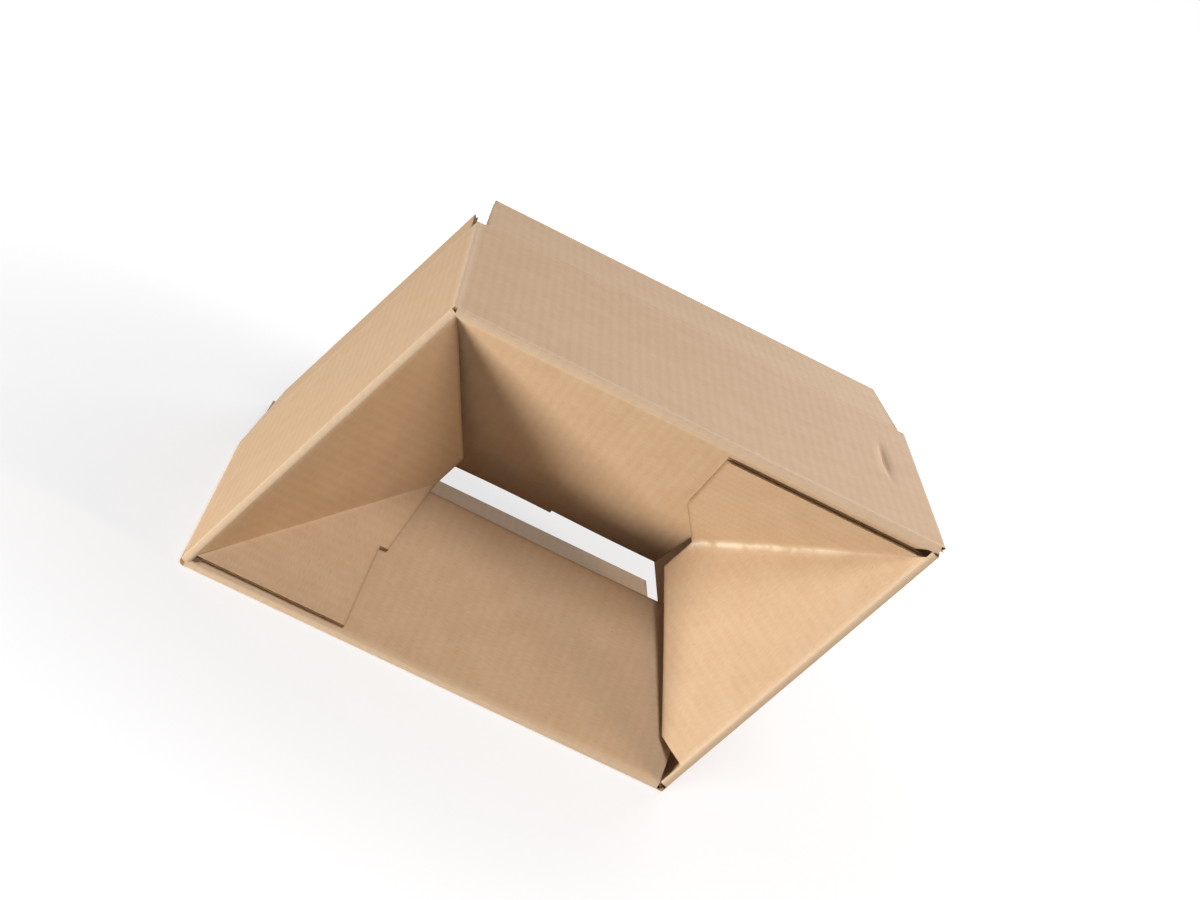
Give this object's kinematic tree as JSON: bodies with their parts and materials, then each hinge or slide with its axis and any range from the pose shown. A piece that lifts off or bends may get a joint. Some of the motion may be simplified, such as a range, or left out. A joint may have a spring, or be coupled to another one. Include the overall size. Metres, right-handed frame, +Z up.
{
  "type": "shipping carton",
  "caption": "Half-opened corrugated shipping carton lying on a long wall, with a self-locking glued bottom and hinged top flaps.",
  "frame": {"origin": "on the surface it lies on, under the middle of its bounding box", "axes": "+Z up, +X along the long walls, +Y along the tube of walls from its bottom end to its top end"},
  "size_m": [0.376, 0.333, 0.203],
  "materials": {
    "kraft_board": "uncoated brown kraft liner on single-wall corrugated board, matt"
  },
  "bodies": {
    "body": {"carton_body": "kraft_board"},
    "top_flap_upper": {"top_flap_upper": "kraft_board"},
    "top_flap_lower": {"top_flap_lower": "kraft_board"},
    "top_flap_left": {"top_flap_left": "kraft_board"},
    "top_flap_right": {"top_flap_right": "kraft_board"}
  },
  "joints": [
    {"name": "upper_flap_fold", "type": "hinge", "parent": "body", "child": "top_flap_upper", "pos_m": [0.03694, 0.0585, 0.20297], "axis": [1, 0, 0], "range_deg": [0, 170]},
    {"name": "lower_flap_fold", "type": "hinge", "parent": "body", "child": "top_flap_lower", "pos_m": [-0.03694, 0.0585, 0], "axis": [-1, 0, 0], "range_deg": [-3, 170]},
    {"name": "left_flap_fold", "type": "hinge", "parent": "body", "child": "top_flap_left", "pos_m": [-0.1525, 0.0555, 0.10149], "axis": [0.342, 0, 0.9397], "range_deg": [-3, 170]},
    {"name": "right_flap_fold", "type": "hinge", "parent": "body", "child": "top_flap_right", "pos_m": [0.1525, 0.0555, 0.10149], "axis": [-0.342, 0, -0.9397], "range_deg": [0, 170]}
  ]
}
